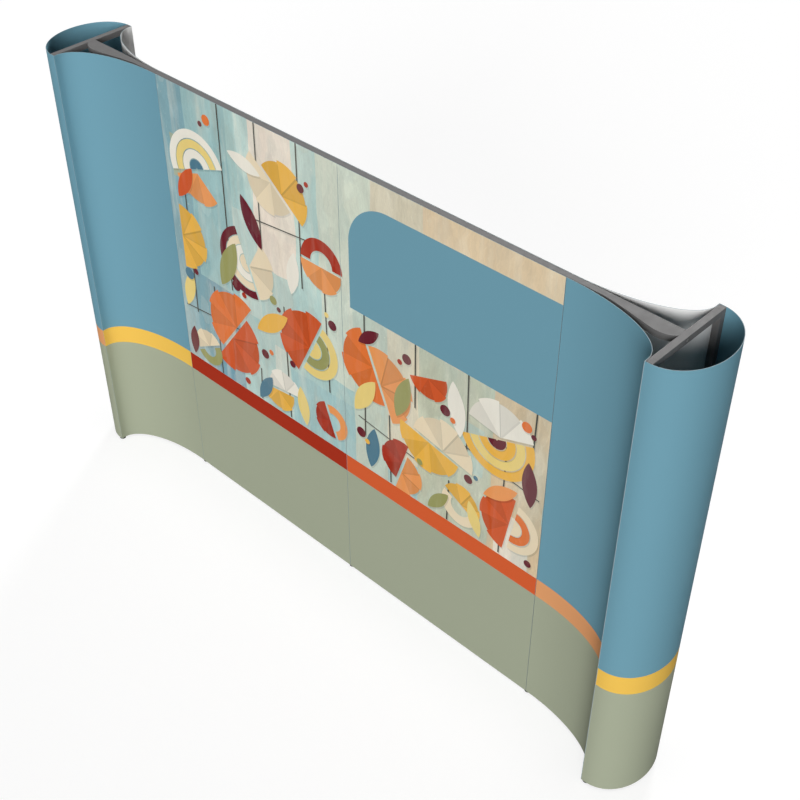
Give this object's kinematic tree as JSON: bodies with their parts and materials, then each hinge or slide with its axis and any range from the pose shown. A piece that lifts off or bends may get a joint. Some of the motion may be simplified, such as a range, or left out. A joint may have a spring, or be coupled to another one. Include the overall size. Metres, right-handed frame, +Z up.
{
  "type": "pop up display backwall",
  "caption": "Free-standing exhibition backwall: square-tube frame with an end frame at each side, clad with flat and curved printed panels held by magnetic tape.",
  "frame": {"origin": "on the floor, under the middle of the wall", "axes": "+X along the wall to the right as seen from the front, +Y to the back, +Z up"},
  "size_m": [3.36, 0.4072, 2.15],
  "materials": {
    "frame_metal": "grey powder coat, satin",
    "arm_metal": "grey powder coat, satin",
    "screw_steel": "plain",
    "magnetic_tape": "matte",
    "foot_plastic": "moulded",
    "centre_print": "printed sheet, satin",
    "return_print": "printed sheet, satin",
    "end_print": "printed sheet, satin",
    "back_panel_white": "plain sheet, satin"
  },
  "bodies": {
    "frame": {"left_bottom_arm": "arm_metal", "left_bottom_arm_screw": "screw_steel", "left_end_bottom_rail": "frame_metal", "left_end_post_back": "frame_metal", "left_end_post_front": "frame_metal", "left_end_tape_back": "magnetic_tape", "left_end_tape_front": "magnetic_tape", "left_end_top_rail": "frame_metal", "left_return_tape_back": "magnetic_tape", "left_return_tape_front": "magnetic_tape", "left_top_arm": "arm_metal", "left_top_arm_screw": "screw_steel", "right_bottom_arm": "arm_metal", "right_bottom_arm_screw": "screw_steel", "right_end_bottom_rail": "frame_metal", "right_end_post_back": "frame_metal", "right_end_post_front": "frame_metal", "right_end_tape_back": "magnetic_tape", "right_end_tape_front": "magnetic_tape", "right_end_top_rail": "frame_metal", "right_return_tape_back": "magnetic_tape", "right_return_tape_front": "magnetic_tape", "right_top_arm": "arm_metal", "right_top_arm_screw": "screw_steel", "wall_back_tape_centre": "magnetic_tape", "wall_back_tape_left": "magnetic_tape", "wall_back_tape_right": "magnetic_tape", "wall_bottom_rail_left": "frame_metal", "wall_bottom_rail_right": "frame_metal", "wall_front_tape_centre": "magnetic_tape", "wall_front_tape_left": "magnetic_tape", "wall_front_tape_right": "magnetic_tape", "wall_middle_rail_left": "frame_metal", "wall_middle_rail_right": "frame_metal", "wall_post_centre": "frame_metal", "wall_post_left": "frame_metal", "wall_post_right": "frame_metal", "wall_top_rail_left": "frame_metal", "wall_top_rail_right": "frame_metal"},
    "back_centre_panel_left": {"back_centre_panel_left": "back_panel_white"},
    "back_centre_panel_right": {"back_centre_panel_right": "back_panel_white"},
    "back_curved_panel_left": {"back_curved_panel_left": "back_panel_white"},
    "back_curved_panel_right": {"back_curved_panel_right": "back_panel_white"},
    "end_panel_left": {"end_panel_left": "end_print"},
    "end_panel_right": {"end_panel_right": "end_print"},
    "front_centre_panel_left": {"front_centre_panel_left": "centre_print"},
    "front_centre_panel_right": {"front_centre_panel_right": "centre_print"},
    "front_curved_panel_left": {"front_curved_panel_left": "return_print"},
    "front_curved_panel_right": {"front_curved_panel_right": "return_print"},
    "left_end_foot_back": {"left_end_foot_back": "foot_plastic"},
    "left_end_foot_front": {"left_end_foot_front": "foot_plastic"},
    "right_end_foot_back": {"right_end_foot_back": "foot_plastic"},
    "right_end_foot_front": {"right_end_foot_front": "foot_plastic"},
    "wall_foot_centre": {"wall_foot_centre": "foot_plastic"},
    "wall_foot_left": {"wall_foot_left": "foot_plastic"},
    "wall_foot_right": {"wall_foot_right": "foot_plastic"}
  },
  "joints": [
    {"name": "back_centre_panel_left_pull_off", "type": "slide", "parent": "frame", "child": "back_centre_panel_left", "axis": [0, 1, 0], "range_m": [0, 0.3]},
    {"name": "back_centre_panel_right_pull_off", "type": "slide", "parent": "frame", "child": "back_centre_panel_right", "axis": [0, 1, 0], "range_m": [0, 0.3]},
    {"name": "back_curved_panel_left_pull_off", "type": "slide", "parent": "frame", "child": "back_curved_panel_left", "axis": [0, 1, 0], "range_m": [0, 0.3]},
    {"name": "back_curved_panel_right_pull_off", "type": "slide", "parent": "frame", "child": "back_curved_panel_right", "axis": [0, 1, 0], "range_m": [0, 0.3]},
    {"name": "end_panel_left_pull_off", "type": "slide", "parent": "frame", "child": "end_panel_left", "axis": [-1, 0, 0], "range_m": [0, 0.3]},
    {"name": "end_panel_right_pull_off", "type": "slide", "parent": "frame", "child": "end_panel_right", "axis": [1, 0, 0], "range_m": [0, 0.3]},
    {"name": "front_centre_panel_left_pull_off", "type": "slide", "parent": "frame", "child": "front_centre_panel_left", "axis": [0, -1, 0], "range_m": [0, 0.3]},
    {"name": "front_centre_panel_right_pull_off", "type": "slide", "parent": "frame", "child": "front_centre_panel_right", "axis": [0, -1, 0], "range_m": [0, 0.3]},
    {"name": "front_curved_panel_left_pull_off", "type": "slide", "parent": "frame", "child": "front_curved_panel_left", "axis": [0, -1, 0], "range_m": [0, 0.3]},
    {"name": "front_curved_panel_right_pull_off", "type": "slide", "parent": "frame", "child": "front_curved_panel_right", "axis": [0, -1, 0], "range_m": [0, 0.3]},
    {"name": "left_end_foot_back_screw_out", "type": "slide", "parent": "frame", "child": "left_end_foot_back", "axis": [0, 0, -1], "range_m": [0, 0.012]},
    {"name": "left_end_foot_front_screw_out", "type": "slide", "parent": "frame", "child": "left_end_foot_front", "axis": [0, 0, -1], "range_m": [0, 0.012]},
    {"name": "right_end_foot_back_screw_out", "type": "slide", "parent": "frame", "child": "right_end_foot_back", "axis": [0, 0, -1], "range_m": [0, 0.012]},
    {"name": "right_end_foot_front_screw_out", "type": "slide", "parent": "frame", "child": "right_end_foot_front", "axis": [0, 0, -1], "range_m": [0, 0.012]},
    {"name": "wall_foot_centre_screw_out", "type": "slide", "parent": "frame", "child": "wall_foot_centre", "axis": [0, 0, -1], "range_m": [0, 0.012]},
    {"name": "wall_foot_left_screw_out", "type": "slide", "parent": "frame", "child": "wall_foot_left", "axis": [0, 0, -1], "range_m": [0, 0.012]},
    {"name": "wall_foot_right_screw_out", "type": "slide", "parent": "frame", "child": "wall_foot_right", "axis": [0, 0, -1], "range_m": [0, 0.012]}
  ]
}
